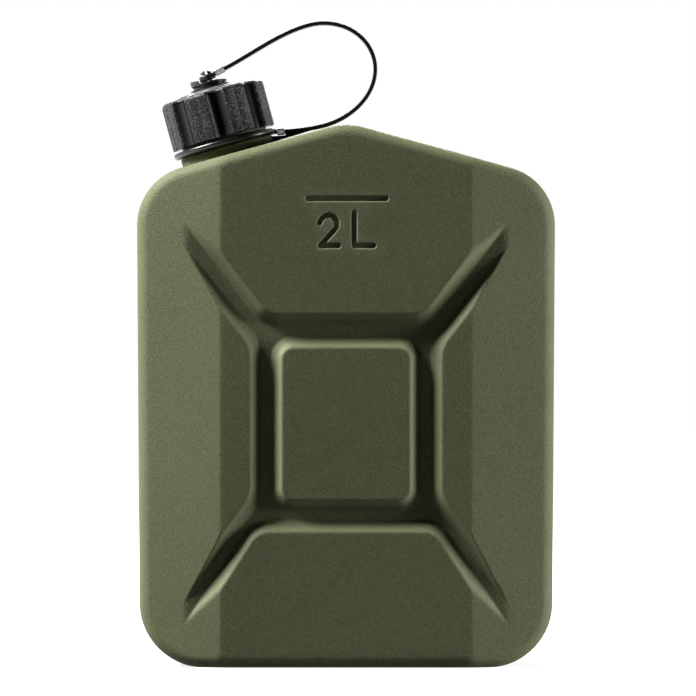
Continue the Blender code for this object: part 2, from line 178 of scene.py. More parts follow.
# Mesh spacing
arc_step = math.radians(3.0)
fan_step = math.radians(20)
run_spacing = 0.0030
row_spacing = 0.0012
mark_spacing = 0.0006
strap_spacing = 0.0007
lattice_spacing = 0.0050
recess_room = 0.0003
crease_room = 0.0004
mark_room = 0.00012
lattice_room = 0.45 * lattice_spacing
coarse_share = 2.5
rim_bulge = 0.01
fillet_steps = 8
turn_steps = 128
thread_steps = 60
merge_distance = 1e-8
weld_distance = 0.000002
flat_angle = math.radians(1)
bevel_angle = math.radians(30)
bevel_segments = 3

# Distances of the rows of points from a foot, a crest and a crease, in millimetres, and from the mark's
# edge, in widths of its wall
foot_spread = (-1.4, -0.8, -0.4, 0.0, 0.4, 0.8, 1.4)
crest_spread = (-1.5, -0.9, -0.45, 0.0, 0.45, 0.9, 1.5, 2.5)
crease_spread = (-1.4, -0.7, 0.0, 0.7, 1.4)
mark_spread = (-1.2, -0.5, -0.17, 0.17, 0.5, 1.4)

# Colours
olive_deep = (0.091, 0.099, 0.051)
olive_pale = (0.105, 0.113, 0.059)
olive_pit = (0.046, 0.051, 0.025)
olive_speck = (0.165, 0.178, 0.098)
# The next two are painted light: a sheen on sharp edges, and a highlight below the crests and on the mark's
# rims
olive_edge_sheen = (0.170, 0.180, 0.110)
olive_highlight = (0.225, 0.235, 0.145)
cap_black = (0.003, 0.003, 0.003)
cap_speck = (0.115, 0.115, 0.107)
smooth_black = (0.004, 0.004, 0.004)
flow_black = (0.008, 0.008, 0.008)
rubbed_black = (0.020, 0.020, 0.021)
rubber_deep = (0.040, 0.040, 0.040)
rubber_pale = (0.060, 0.060, 0.060)
steel_bright = (0.70, 0.70, 0.68)
steel_dull = (0.50, 0.50, 0.48)
white = (1, 1, 1, 1)

# Where the cap's grain starts and where it is full, inside the lobes and below the top's edge
lobe_grain = (0.0011, 0.0003)
top_grain = (0.0015, 0.0004)

# The range that soft noise keeps to
noise_range = (0.3, 0.7)

# Camera, worked out from the photograph's scale at the middle of the can
camera_distance = 2.3
camera_x = 0.00086
camera_height = 0.1374
frame_size = 696
metres_per_pixel = 0.4352e-3
sensor_width = 36.0

# Studio; a lamp has its turn clockwise from the left, its rise and its energy
lamp_distance = 1.8
lamp_size = 0.69
left_lamp = (math.radians(-6), math.radians(43), 140.0)
right_lamp = (math.radians(185.5), math.radians(4), 68.0)
back_lamp = (math.radians(90), math.radians(28), 34.0)
studio_fill = 0.012
behind_reach = 0.6

# The floor is nearly black to the light that it throws on the can, and pale and glowing to the eye
floor_throw = 0.02
floor_pale = 0.45
floor_glow = 0.78
glow_near = 0.30
glow_far = 1.20
floor_half = 6.0

# Worked out from the sizes above and the frame
millimetre = 0.001
quarter = math.radians(90)
half_depth = body_depth / 2
band_half = band_width / 2
floor_depth = half_depth - recess_depth
tip_x = band_half + recess_depth / math.tan(wing_slope)
swivel = next(joint for joint in frame["joints"] if joint["name"] == "tether_swivel")
neck_foot = Vector(swivel["pos_m"])
neck_axis = Vector(swivel["axis"])
roof_slope = math.atan2(-neck_axis.x, neck_axis.z)
neck_matrix = Matrix.Translation(neck_foot) @ Matrix.Rotation(-roof_slope, 4, "Y")


# Outlines


def rounded_outline(corners, parts=None):
    """Points along a closed outline; corners (x, z, radius) become arcs, straight runs equal parts."""
    arcs = []
    count = len(corners)
    for i, (x, z, radius) in enumerate(corners):
        here = Vector((x, z))
        back = (Vector(corners[i - 1][:2]) - here).normalized()
        ahead = (Vector(corners[(i + 1) % count][:2]) - here).normalized()
        if radius <= 0:
            arcs.append([here])
            continue
        turn = math.pi - back.angle(ahead)
        arm = here + back * (radius * math.tan(turn / 2))
        centre = here + (back + ahead).normalized() * (radius / math.cos(turn / 2))
        arm = arm - centre
        sweep = math.copysign(turn, -back.cross(ahead))
        steps = max(1, math.ceil(turn / arc_step))
        arcs.append([centre + Matrix.Rotation(sweep * k / steps, 2) @ arm for k in range(steps + 1)])
    points = []
    for i, arc in enumerate(arcs):
        points += arc
        following = arcs[(i + 1) % count][0]
        pieces = parts[i] if parts else 1
        points += [arc[-1].lerp(following, k / pieces) for k in range(1, pieces)]
    return np.array([tuple(point) for point in points])


def can_corners(inset):
    """Corners of the can's front outline, drawn in by inset."""
    half_base = width_base / 2 - inset
    half_shoulder = width_shoulder / 2 - inset
    apex = ridge_height - inset / math.cos(roof_slope)
    eaves = apex - half_shoulder * math.tan(roof_slope)
    return [
        (-half_base, inset, base_corner_radius - inset),
        (half_base, inset, base_corner_radius - inset),
        (half_shoulder, eaves, shoulder_radius - inset),
        (0, apex, ridge_radius - inset),
        (-half_shoulder, eaves, shoulder_radius - inset),
    ]


def run_parts(corners, spacing):
    """How many parts each straight run of an outline is cut into."""
    lengths = [math.dist(corners[i][:2], corners[(i + 1) % len(corners)][:2]) for i in range(len(corners))]
    return [max(1, round(length / spacing)) for length in lengths]


can_parts = run_parts(can_corners(0), run_spacing)


def can_outline(inset):
    return rounded_outline(can_corners(inset), can_parts)


def recess_corners():
    """Corners of the recess floor's outer edge and of the pad's edge."""
    upper_slope = (upper_tip_high - recess_top) / (tip_x - upper_panel_corner)
    upper_inner = (upper_tip_low - upper_root) / (tip_x - recess_half_width)
    lower_slope = (lower_tip_low - recess_bottom) / (tip_x - lower_panel_corner)
    lower_inner = (lower_tip_high - lower_root) / (tip_x - recess_half_width)
    run = 2 * recess_depth
    beyond = tip_x + run
    right = [
        (upper_panel_corner, recess_top, panel_corner_radius),
        (beyond, upper_tip_high + upper_slope * run, 0),
        (beyond, upper_tip_low + upper_inner * run, 0),
        (recess_half_width, upper_root, side_corner_radius),
        (recess_half_width, lower_root, side_corner_radius),
        (beyond, lower_tip_high + lower_inner * run, 0),
        (beyond, lower_tip_low + lower_slope * run, 0),
        (lower_panel_corner, recess_bottom, panel_corner_radius),
    ]
    left = [(-x, z, radius) for x, z, radius in reversed(right)]
    corners = right + left
    half_pad = pad_width / 2
    pad = [
        (-half_pad, pad_bottom, pad_corner_radius),
        (half_pad, pad_bottom, pad_corner_radius),
        (half_pad, pad_top, pad_corner_radius),
        (-half_pad, pad_top, pad_corner_radius),
    ]
    return corners, pad


floor_corners, pad_corners = recess_corners()
floor_outline = rounded_outline(floor_corners)
pad_outline = rounded_outline(pad_corners)


def mark_strokes():
    """Middle lines of the capacity mark: a bar, the figure and the letter for litres."""
    steps = 16
    arc = []
    for k in range(steps + 1):
        angle = two_arc_start + (two_arc_end - two_arc_start) * k / steps
        arc.append((
            two_arc_centre[0] + two_arc_radius * math.cos(angle),
            two_arc_centre[1] + two_arc_radius * math.sin(angle),
        ))
    two = arc + [two_base_left, two_base_right]
    return [np.array(line) for line in (bar_ends, two, ell_points)]


strokes = mark_strokes()


# Distances and heights


def segment_distance(points, starts, ends):
    """Distance from each point to the nearest of these segments."""
    span = ends - starts
    reach = points[:, None, :] - starts
    along = np.clip((reach * span).sum(2) / (span ** 2).sum(1), 0, 1)
    gap = reach - along[..., None] * span
    return np.sqrt((gap ** 2).sum(2).min(1))


def signed_distance(points, outline):
    """Distance from each point to a closed outline, negative inside."""
    ends = np.roll(outline, -1, axis=0)
    away = segment_distance(points, outline, ends)
    x = points[:, None, 0]
    z = points[:, None, 1]
    rise = np.where(ends[:, 1] == outline[:, 1], 1, ends[:, 1] - outline[:, 1])
    crossing = outline[:, 0] + (z - outline[:, 1]) * (ends[:, 0] - outline[:, 0]) / rise
    hits = ((outline[:, 1] > z) != (ends[:, 1] > z)) & (x < crossing)
    return np.where(hits.sum(1) % 2 == 1, -away, away)


def stroke_distance(points):
    """Distance from the middle lines of the mark."""
    starts = np.concatenate([line[:-1] for line in strokes])
    ends = np.concatenate([line[1:] for line in strokes])
    return segment_distance(points, starts, ends)


def recess_distance(points):
    """Distance from the recess floor's edge, negative on the floor."""
    return np.maximum(signed_distance(points, floor_outline), -signed_distance(points, pad_outline))


def soft_ramp(value, size):
    """The value above zero and zero below, with a round corner of that size."""
    corner = (value + size) ** 2 / (4 * size)
    return np.where(value > size, value, np.where(value < -size, 0, corner))


def soft_min(first, second, size):
    """The smaller value, with a round corner of that size where the two meet."""
    overlap = np.maximum(size - np.abs(first - second), 0)
    return np.minimum(first, second) - overlap ** 2 / (4 * size)


def smooth(value):
    """A rise from 0 to 1 that starts and ends level."""
    value = np.clip(value, 0, 1)
    return value * value * (3 - 2 * value)


def base_depth(points, inset):
    """How far the plain face stands from the middle plane: a flat band and sloping wings."""
    crease = band_half - inset * math.tan(wing_slope / 2)
    slope = soft_ramp(np.abs(points[:, 0]) - crease, crease_round)
    return half_depth - inset - slope * math.tan(wing_slope)


def face_depth(points, inset, marked):
    """The face with its recess and, on the front, the capacity mark."""
    half_wall_angle = quarter / 4
    base = base_depth(points, inset)
    away = recess_distance(points) - inset * math.tan(half_wall_angle)
    wall_depth = floor_depth - inset + soft_ramp(away, foot_round)
    depth = soft_min(base, wall_depth, crest_round)
    if marked:
        edge = (mark_half_width + mark_wall / 2 - stroke_distance(points)) / mark_wall
        depth = depth - mark_sink * smooth(edge)
    return depth


# Points of the faces


def outward_normals(outline):
    """A unit normal at each point of a closed outline, whichever way round it runs."""
    following = np.roll(outline, -1, axis=0)
    ahead = following - np.roll(outline, 1, axis=0)
    twice_area = (outline[:, 0] * following[:, 1] - outline[:, 1] * following[:, 0]).sum()
    normal = np.stack([ahead[:, 1], -ahead[:, 0]], axis=1) * math.copysign(1, twice_area)
    return normal / np.linalg.norm(normal, axis=1)[:, None]


def recess_rows():
    """Points in rows along the foot and the crest of the recess walls."""
    rounds = 6
    rows = []
    for corners, sense in ((floor_corners, 1), (pad_corners, -1)):
        outline = rounded_outline(corners, run_parts(corners, row_spacing))
        normal = outward_normals(outline) * sense
        for offset in np.array(foot_spread) * millimetre:
            place = outline + normal * offset
            kept = np.abs(recess_distance(place) - offset) < millimetre / 20
            rows.append(place[kept & (np.abs(place[:, 0]) < tip_x + millimetre)])
        for offset in np.array(crest_spread) * millimetre:
            # A crest's distance depends on the face's depth there, so it is found in a few rounds
            away = np.full(len(outline), recess_depth)
            for _ in range(rounds):
                place = outline + normal * away[:, None]
                away = base_depth(place, 0) - floor_depth + offset
            kept = np.abs(recess_distance(place) - away) < millimetre / 10
            rows.append(place[kept & (away > 0)])
    return np.concatenate(rows)


def crease_rows():
    """Points in upright rows along the creases of the wings and across the recess's tips."""
    rows = []
    for middle in (band_half, tip_x):
        for offset in np.array(crease_spread) * millimetre:
            z = np.arange(0, ridge_height, row_spacing)
            for side in (-1, 1):
                place = np.stack([np.full(len(z), side * (middle + offset)), z], axis=1)
                if middle == tip_x:
                    place = place[recess_distance(place) < millimetre]
                rows.append(place)
    return np.concatenate(rows)


def mark_rows():
    """Points in rows along the mark's strokes, with fans round their ends and corners."""
    rows = []
    fan = np.arange(0, math.tau, fan_step)
    wall_rows = mark_half_width + np.array(mark_spread) * mark_wall
    for line in strokes:
        middles = []
        normals = []
        for start, end in zip(line, line[1:]):
            length = np.linalg.norm(end - start)
            count = max(1, round(length / mark_spacing))
            across = np.array([end[1] - start[1], start[0] - end[0]]) / length
            for k in range(count + 1):
                middles.append(start + (end - start) * k / count)
                normals.append(across)
        middles = np.array(middles)
        normals = np.array(normals)
        rows.append(middles)
        for offset in wall_rows:
            candidates = [middles + normals * offset, middles - normals * offset]
            for corner in line:
                candidates.append(corner + offset * np.stack([np.cos(fan), np.sin(fan)], axis=1))
            candidates = np.concatenate(candidates)
            rows.append(candidates[np.abs(stroke_distance(candidates) - offset) < millimetre / 50])
    return np.concatenate(rows)


def lattice(spacing):
    """Staggered points all over the face."""
    rows = []
    half = width_shoulder / 2
    for j, z in enumerate(np.arange(0, ridge_height, spacing * math.sin(math.radians(60)))):
        x = np.arange(-half + (j % 2) * spacing / 2, half, spacing)
        rows.append(np.stack([x, np.full(len(x), z)], axis=1))
    return np.concatenate(rows)


def thinned(groups):
    """Points of all groups, each kept only where no kept one is nearer than its group's room."""
    cells = {}
    kept = []
    for points, room in groups:
        reach = math.ceil(room / millimetre)
        for x, z in points:
            column = math.floor(x / millimetre)
            row = math.floor(z / millimetre)
            near = (
                other
                for i in range(column - reach, column + reach + 1)
                for j in range(row - reach, row + reach + 1)
                for other in cells.get((i, j), ())
            )
            if all((x - other[0]) ** 2 + (z - other[1]) ** 2 > room * room for other in near):
                cells.setdefault((column, row), []).append((x, z))
                kept.append((x, z))
    return kept


face_rows = (recess_rows(), crease_rows(), lattice(lattice_spacing))


def face_triangles(marked, coarse):
    """Points of a face, its rim first, and the flat triangles that fill it."""
    rim = can_outline(edge_fillet)
    share = coarse_share if coarse else 1
    groups = [(rim, 0)]
    if marked:
        groups.append((mark_rows(), mark_room))
    groups += zip(face_rows, (recess_room * share, crease_room * share, lattice_room))
    points = np.array(thinned(groups))
    inside = signed_distance(points, rim) < -millimetre
    inside[:len(rim)] = True
    points = points[inside]
    centre = np.array([0, ridge_height / 2])
    outwards = (points - centre) / ridge_height
    bulged = centre + (points - centre) * (1 - rim_bulge * (outwards ** 2).sum(1))[:, None]
    flat = [Vector(point) for point in bulged]
    loop = list(range(len(rim)))
    _, _, triangles, origins, _, _ = delaunay_2d_cdt(flat, [], [loop], 1, merge_distance, True)
    return points, [tuple(origins[i][0] for i in triangle) for triangle in triangles]


# Meshes


def add_object(name, data):
    thing = bpy.data.objects.new(name, data)
    bpy.context.scene.collection.objects.link(thing)
    return thing


def mesh_object(name, verts, faces):
    """A mesh with its faces pointing out."""
    data = bpy.data.meshes.new(name)
    data.from_pydata([tuple(vert) for vert in verts], [], faces)
    shape = bmesh.new()
    shape.from_mesh(data)
    bmesh.ops.recalc_face_normals(shape, faces=shape.faces)
    shape.to_mesh(data)
    shape.free()
    return add_object(name, data)


def stitched(first, second):
    """Quads between two closed rings of vertex numbers."""
    count = len(first)
    return [(first[i], first[(i + 1) % count], second[(i + 1) % count], second[i]) for i in range(count)]


def ringed_object(name, rings, start=None, end=None):
    """A skin through rings of points, closed by a fan to a point at either end or by the ring itself."""
    verts = [point for ring in rings for point in ring]
    count = len(rings[0])
    numbers = [list(range(i * count, (i + 1) * count)) for i in range(len(rings))]
    faces = []
    for first, second in zip(numbers, numbers[1:]):
        faces += stitched(first, second)
    for tip, ring in ((start, numbers[0]), (end, numbers[-1])):
        if tip is None:
            faces.append(tuple(ring))
            continue
        verts.append(tip)
        faces += [(ring[i], ring[(i + 1) % count], len(verts) - 1) for i in range(count)]
    return mesh_object(name, verts, faces)


def turned(name, profile):
    """A solid of revolution about Z through a profile (radius, height) that starts and ends on the axis."""
    rings = []
    angles = [math.tau * k / turn_steps for k in range(turn_steps)]
    for radius, height in profile[1:-1]:
        rings.append([(radius * math.cos(a), radius * math.sin(a), height) for a in angles])
    return ringed_object(name, rings, (0, 0, profile[0][1]), (0, 0, profile[-1][1]))


def cylinder(name, radius, low, high):
    """A round tool about Z from one height to another."""
    return turned(name, [(0, high), (radius, high), (radius, low), (0, low)])


def arc_profile(centre, radius, start, end, steps):
    """Points (radius, height) along an arc, angles measured from outwards to upwards."""
    return [
        (centre[0] + radius * math.cos(start + (end - start) * k / steps),
         centre[1] + radius * math.sin(start + (end - start) * k / steps))
        for k in range(steps + 1)
    ]


def apply_modifiers(thing):
    """The thing with what its modifiers make of it as its own mesh."""
    bpy.context.view_layer.update()
    graph = bpy.context.evaluated_depsgraph_get()
    data = bpy.data.meshes.new_from_object(thing.evaluated_get(graph))
    thing.modifiers.clear()
    thing.data = data
    return thing


def combine(target, tools):
    """Unites the target with tools or cuts them from it, in order, and removes them."""
    for tool, operation in tools:
        cut = target.modifiers.new(operation.title(), "BOOLEAN")
        cut.operation = operation
        cut.object = tool
        cut.solver = "MANIFOLD"
    apply_modifiers(target)
    for tool, _ in tools:
        bpy.data.objects.remove(tool)
    return target


def bevelled(thing, width):
    """The thing with its sharp edges rounded."""
    rounding = thing.modifiers.new("Bevel", "BEVEL")
    rounding.width = width
    rounding.segments = bevel_segments
    rounding.limit_method = "ANGLE"
    rounding.angle_limit = bevel_angle
    return apply_modifiers(thing)


def smooth_shading(thing, sharp=math.radians(35)):
    """Smooth faces with sharp edges kept, and flats that stay flat beside their fillets."""
    thing.data.shade_smooth()
    thing.data.set_sharp_from_angle(angle=sharp)
    even = thing.modifiers.new("Weighted normals", "WEIGHTED_NORMAL")
    even.keep_sharp = True
    return apply_modifiers(thing)


# Body


def can_skin(name, inset, marked, seamed):
    """The can's closed form, drawn in by inset: two faces, their edge fillets and the side between."""
    verts = []
    faces = []

    def add_ring(points, depth):
        """Adds an outline's points at that depth towards the front and returns their numbers."""
        first = len(verts)
        verts.extend((x, -y, z) for (x, z), y in zip(points, depth))
        return list(range(first, len(verts)))

    def drawn_in(side_inset, base_inset):
        """The outline with one inset round the sides and roof and another along the base."""
        side = can_outline(side_inset)
        base = can_outline(base_inset)
        weight = np.clip(1 - side[:, 1:] / (edge_fillet + side_inset), 0, 1)
        return side + (base - side) * weight

    skin = seam_height if seamed else 0
    radius = edge_fillet - inset
    rim_count = len(can_outline(0))
    rings = {}
    for sense in (1, -1):
        points, triangles = face_triangles(marked and sense > 0, inset > 0)
        first = len(verts)
        depth = face_depth(points, inset, marked and sense > 0)
        verts.extend((x, -sense * y, z) for (x, z), y in zip(points, depth))
        faces += [tuple(first + i for i in triangle) for triangle in triangles]
        rings[sense] = [list(range(first, first + rim_count))]
        for k in range(1, fillet_steps + 1):
            angle = quarter * k / fillet_steps
            inward = inset + radius * (1 - math.sin(angle))
            points = drawn_in(inward + skin * k / fillet_steps, inward)
            depth = base_depth(points, inset) - radius * (1 - math.cos(angle))
            rings[sense].append(add_ring(points, depth * sense))
    chain = rings[1]
    if seamed:
        front_half = (
            (pinch_half_width + millimetre / 2, skin, 0),
            (pinch_half_width, skin, pinch_depth),
            (seam_half_width, skin, pinch_depth),
            (seam_half_width / 2, 0, pinch_depth - pinch_ridge),
        )
        back_half = [(-y, side, base) for y, side, base in reversed(front_half)]
        for y, side, base in (*front_half, *back_half):
            points = drawn_in(side, base)
            chain.append(add_ring(points, np.full(len(points), y)))
    chain += reversed(rings[-1])
    for first_ring, second_ring in zip(chain, chain[1:]):
        faces += stitched(first_ring, second_ring)
    return mesh_object(name, verts, faces)


def screw_thread(name, wall_radius, crest_radius, start, turns):
    """A thread on a wall, fading into it at both ends; a crest inside the wall makes an inner thread."""
    count = round(turns * thread_steps)
    fade_steps = thread_steps / 5
    sunk = math.copysign(small_round, wall_radius - crest_radius)
    rings = []
    for k in range(count + 1):
        angle = math.tau * k / thread_steps
        fade = min(1, k / fade_steps, (count - k) / fade_steps)
        crest = wall_radius + sunk / 2 + (crest_radius - wall_radius - sunk / 2) * fade
        height = start + thread_pitch * k / thread_steps
        section = (
            (wall_radius + sunk, -thread_half_root),
            (crest, -thread_half_crest),
            (crest, thread_half_crest),
            (wall_radius + sunk, thread_half_root),
        )
        rings.append([(r * math.cos(angle), r * math.sin(angle), height + t) for r, t in section])
    return ringed_object(name, rings)


def make_neck():
    """The neck as a closed solid: a flared foot, the bead that keeps the ring down, and the rim."""
    edge = small_round
    edge_steps = 4
    bead_top = bead_low + bead_height
    flare_middle = 0.3 * neck_flare
    profile = [(0, neck_height)]
    profile += arc_profile((neck_core_radius - edge, neck_height - edge), edge, quarter, 0, edge_steps)
    profile += [
        (neck_core_radius, bead_top + bead_height),
        (bead_radius - edge / 3, bead_top),
        (bead_radius, bead_top - edge / 2),
        (bead_radius, bead_low + edge / 2),
        (bead_radius - edge / 2, bead_low),
        (neck_core_radius, bead_low),
        (neck_core_radius, neck_foot_height),
    ]
    profile += arc_profile((neck_foot_radius - edge, neck_foot_height - edge), edge, quarter, 0, edge_steps)
    profile += [
        (neck_foot_radius, neck_flare),
        (neck_foot_radius + flare_middle, flare_middle),
        (neck_foot_radius + neck_flare, 0),
        (neck_foot_radius + neck_flare, -wall / 2),
        (0, -wall / 2),
    ]
    neck = turned("neck", profile)
    neck.matrix_world = neck_matrix
    return neck


def add_painted_highlight(body):
    """Stores a painted highlight, a paler strip just below the crests of the recess and along the rims of
    the mark.
    """
    verts = body.data.vertices
    place = np.empty(len(verts) * 3)
    verts.foreach_get("co", place)
    place = place.reshape(-1, 3)
    painted_highlight = np.zeros(len(verts))
    outer = np.flatnonzero(np.abs(place[:, 1]) > floor_depth)
    pad_edge = (pad_width / 2 - pad_corner_radius, pad_width / 2 - recess_depth)
    for numbers in np.array_split(outer, highlight_batches):
        points = place[numbers][:, [0, 2]]
        below = base_depth(points, 0) - floor_depth - recess_distance(points)
        # Painted highlight below each crest, strongest on the pad's sides, weaker on its top and the outer
        # crests, and along the mark's rims
        crest = np.clip(1 - np.abs(below - highlight_drop) / highlight_reach, 0, 1)
        pad_highlight = np.interp(np.abs(points[:, 0]), pad_edge, (level_highlight, 1))
        crest *= np.where(signed_distance(points, pad_outline) < 0, pad_highlight, outer_highlight)
        beyond = stroke_distance(points) - mark_half_width
        rim = np.clip(1 - np.abs(beyond - rim_reach / 2) / rim_reach, 0, 1) * (place[numbers][:, 1] < 0)
        painted_highlight[numbers] = np.maximum(crest, rim)
    body.data.attributes.new("painted_highlight", "FLOAT", "POINT").data.foreach_set("value", painted_highlight.astype(np.float32))
    return body


def make_can():
    """The body with its neck and thread, less the cavity and the bore."""
    body = can_skin("can_moulding", 0, True, True)
    cavity = can_skin("cavity", wall, False, False)
    thread = screw_thread("thread", neck_core_radius, thread_crest, thread_start, thread_turns)
    thread.matrix_world = neck_matrix
    bore = cylinder("bore", neck_bore_radius, -3 * wall, neck_height + wall)
    bore.matrix_world = neck_matrix
    combine(body, [
        (make_neck(), "UNION"), (thread, "UNION"), (cavity, "DIFFERENCE"), (bore, "DIFFERENCE"),
    ])
    return add_painted_highlight(smooth_shading(body))


# Cap


def crown(radius):
    """Height of the cap's domed top at a distance from its axis."""
    edge = cap_radius - cap_edge_radius
    return cap_crown_height - (cap_crown_height - cap_edge_height) * (radius / edge) ** 2


def lobe_dips(angles):
    """How far the cap's outline lies inside its full radius at these angles from a groove's middle."""
    hollow = (groove_width ** 2 / 4 + groove_depth ** 2) / (2 * groove_depth)
    centre = cap_radius - groove_depth + hollow
    inner = np.maximum(hollow ** 2 - (centre * np.sin(angles)) ** 2, 0)
    near_side = centre * np.cos(angles) - np.sqrt(inner)
    return cap_radius - soft_min(near_side, np.full(len(angles), cap_radius), shoulder_round)


def make_cap():
    """The cap's shell as rings from the stud's socket over the dome, down the lobes and up the bore."""
    per_lobe = 36
    steps = np.arange(lobe_count * per_lobe)
    from_groove = (steps % per_lobe / per_lobe - 0.5) * math.tau / lobe_count
    angles = lobe_phase - quarter + (steps / per_lobe - 0.5) * math.tau / lobe_count
    dips = lobe_dips(from_groove)
    edge = cap_radius - cap_edge_radius
    lobed_from = 0.72 * cap_radius
    dome_steps = 15
    side_steps = 5
    dome_end = math.radians(78)
    rim = small_round
    rows = [(socket_radius, socket_floor, 0)]
    for k in range(dome_steps + 1):
        radius = socket_radius + (edge - socket_radius) * k / dome_steps
        rows.append((radius, crown(radius), float(smooth((radius - lobed_from) / (edge - lobed_from)))))
    corner = (edge, cap_edge_height - cap_edge_radius)
    for radius, height in arc_profile(corner, cap_edge_radius, dome_end, 0, fillet_steps):
        rows.append((radius, height, 1))
    for k in range(1, side_steps + 1):
        height = corner[1] + (cap_bottom + rim - corner[1]) * k / side_steps
        rows.append((cap_radius, height, 1))
    rows.append((cap_radius - rim / 3, cap_bottom + rim / 3, 1))
    rows.append((cap_radius - rim, cap_bottom, 1))
    rows.append((cap_bore_radius + rim, cap_bottom, 0))
    rows.append((cap_bore_radius, cap_bottom + rim, 0))
    rows.append((cap_bore_radius, cap_ceiling, 0))
    rings = []
    for radius, height, lobed in rows:
        reach = radius - dips * lobed
        rings.append([(r * math.cos(a), r * math.sin(a), height) for r, a in zip(reach, angles)])
    cap = ringed_object("cap_moulding", rings, (0, 0, socket_floor), (0, 0, cap_ceiling))
    inner_crest = neck_core_radius + small_round
    inner_thread = screw_thread(
        "inner_thread", cap_bore_radius, inner_crest, thread_start + thread_pitch / 2, thread_turns,
    )
    combine(cap, [(inner_thread, "UNION")])
    cap.data.transform(neck_matrix)
    return smooth_shading(cap, sharp=math.radians(40))


# Strap


def tilted(distance, height, rise):
    """A place on the neck's middle plane with its X axis turned up by rise."""
    return Matrix.Translation((distance, 0, height)) @ Matrix.Rotation(-rise, 4, "Y")


def strap_route():
    """Places and directions along the strap's middle line, from the ring's clip to the eyelet's."""
    def from_line(line, distance, sense):
        """The place at a distance along a line, and the direction of the strap there."""
        place = line @ Vector((distance, 0, 0))
        ahead = line.to_3x3() @ Vector((sense, 0, 0))
        return place, ahead

    ring_line = tilted(ring_radius, ring_tab_height, -ring_strap_dip)
    eyelet_line = tilted(0, eyelet_height, eyelet_strap_rise)
    ring_end = ring_clip_start + ring_clip_length
    eyelet_end = eyelet_clip_start + eyelet_clip_length
    return [
        from_line(ring_line, (ring_clip_start + ring_end + clip_gap) / 2, 1),
        from_line(ring_line, ring_end, 1),
        (Vector((strap_low[0], 0, strap_low[1])), Vector((1, 0, 0))),
        (Vector((strap_reach[0], 0, strap_reach[1])), Vector((0, 0, 1))),
        (Vector((strap_crest[0], 0, strap_crest[1])), Vector((-1, 0, 0))),
        from_line(eyelet_line, eyelet_end, -1),
        from_line(eyelet_line, (eyelet_clip_start + eyelet_end + clip_gap) / 2, -1),
    ]


def arc_handle(chord, ahead, turn):
    """Length of the handle with which a curve through that turn runs as round as an arc."""
    nearly_straight = math.radians(0.5)
    if turn < nearly_straight:
        return chord.dot(ahead) / 3
    return chord.dot(ahead) * 4 / 3 * math.tan(turn / 4) / math.sin(turn)


def strap_line():
    """Points close together along the strap's middle line."""
    route = strap_route()
    points = []
    for (place, ahead), (next_place, next_ahead) in zip(route, route[1:]):
        chord = next_place - place
        turn = ahead.angle(next_ahead)
        leaving = place + ahead * arc_handle(chord, ahead, turn)
        arriving = next_place - next_ahead * arc_handle(chord, next_ahead, turn)
        count = max(2, round(chord.length / strap_spacing))
        points += interpolate_bezier(place, leaving, arriving, next_place, count + 1)[:-1]
    return points + [route[-1][0]]


def strap_root():
    """The strap's thick end, which runs under the ring's clip and lies hollow against the neck's foot."""
    line = tilted(ring_radius, ring_tab_height, -ring_strap_dip)
    under_clip = strap_thickness / 2 + 2 * clip_gap + clip_wall
    beyond_clip = ring_clip_start + ring_clip_length + clip_gap
    start = line @ Vector((beyond_clip - strap_root_length - root_reach, 0, -under_clip))
    inside = line @ Vector((beyond_clip, 0, 0))
    under_end = line @ Vector((beyond_clip, 0, -under_clip))
    low_inside = strap_low[1] - strap_thickness / 2 + strap_edge
    outline = [
        (start.x, start.z),
        (under_end.x, under_end.z),
        (inside.x, inside.z),
        strap_low,
        (strap_low[0], low_inside),
        (start.x, strap_root_height),
    ]
    half = strap_width / 2 - strap_edge
    rings = [[(r, y, t) for r, t in outline] for y in (-half, half)]
    root = ringed_object("strap_root", rings)
    hollow = cylinder("root_hollow", neck_foot_radius + root_gap, -wall, ring_tab_height)
    return combine(bevelled(root, strap_edge / 2), [(hollow, "DIFFERENCE")])


def make_strap():
    """The flat strap as a rounded section carried along its route."""
    outline = rounded_outline([
        (-strap_width / 2, -strap_thickness / 2, strap_edge),
        (strap_width / 2, -strap_thickness / 2, strap_edge),
        (strap_width / 2, strap_thickness / 2, strap_edge),
        (-strap_width / 2, strap_thickness / 2, strap_edge),
    ])
    every_third = outline[::3]
    line = strap_line()
    rings = []
    for i, place in enumerate(line):
        ahead = (line[min(i + 1, len(line) - 1)] - line[max(i - 1, 0)]).normalized()
        up = Vector((0, 1, 0)).cross(ahead)
        rings.append([place + Vector((0, across, 0)) + up * out for across, out in every_third])
    strap = ringed_object("strap_band", rings)
    combine(strap, [(strap_root(), "UNION")])
    strap.data.transform(neck_matrix)
    return smooth_shading(strap, sharp=math.radians(60))


# Small pieces


def refined(node, edge_size):
    """A copy of a small solid with its edges rounded finely."""
    piece = add_object(f"{node}_fine", frame["nodes"][node].data.copy())
    shape = bmesh.new()
    shape.from_mesh(piece.data)
    bmesh.ops.remove_doubles(shape, verts=shape.verts, dist=weld_distance)
    bmesh.ops.dissolve_limit(shape, angle_limit=flat_angle, verts=shape.verts, edges=shape.edges)
    shape.to_mesh(piece.data)
    shape.free()
    return smooth_shading(bevelled(piece, edge_size), sharp=math.radians(40))


# Materials


